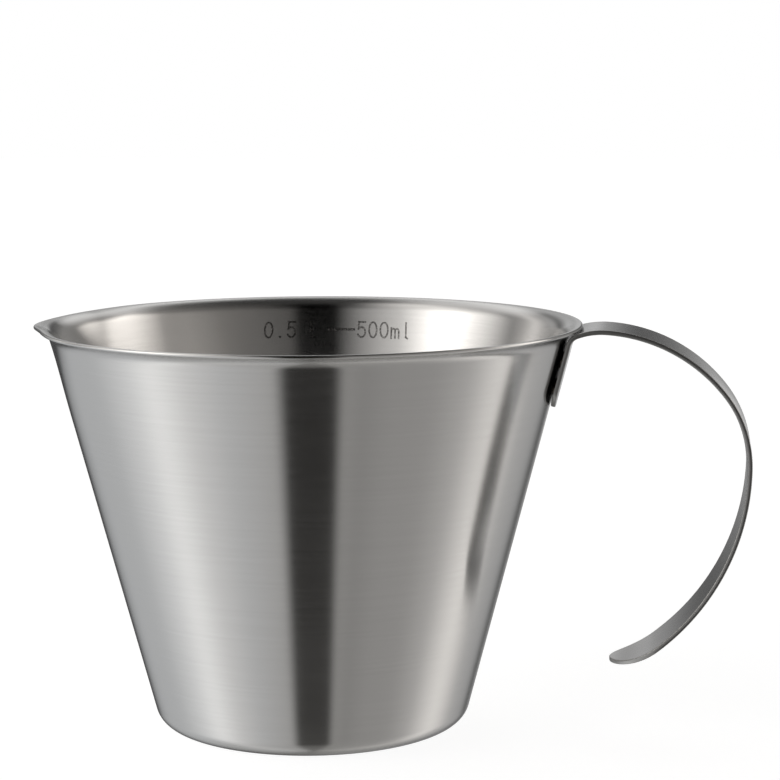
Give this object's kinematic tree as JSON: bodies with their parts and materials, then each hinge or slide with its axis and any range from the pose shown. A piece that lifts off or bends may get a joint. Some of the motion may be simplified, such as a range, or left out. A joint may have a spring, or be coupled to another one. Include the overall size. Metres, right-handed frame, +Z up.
{
  "type": "measuring jug",
  "caption": "Conical brushed-steel measuring jug with a flat base, turned-out rim, small pouring lip and an open strap handle welded on under the rim.",
  "frame": {"origin": "centre of the base's underside, on the cup's axis, where the jug stands on the table", "axes": "+Z up along the cup's axis, +X towards the handle, -X towards the pouring lip, +Y completes a right-handed frame"},
  "size_m": [0.1578, 0.1196, 0.089],
  "materials": {
    "cup_steel": "brushed around the cup's axis",
    "strap_steel": "brushed along the strap",
    "weld_steel": "dull weld metal"
  },
  "bodies": {
    "root": {"cup": "cup_steel", "handle_strap": "strap_steel", "spot_welds": "weld_steel"}
  },
  "joints": []
}
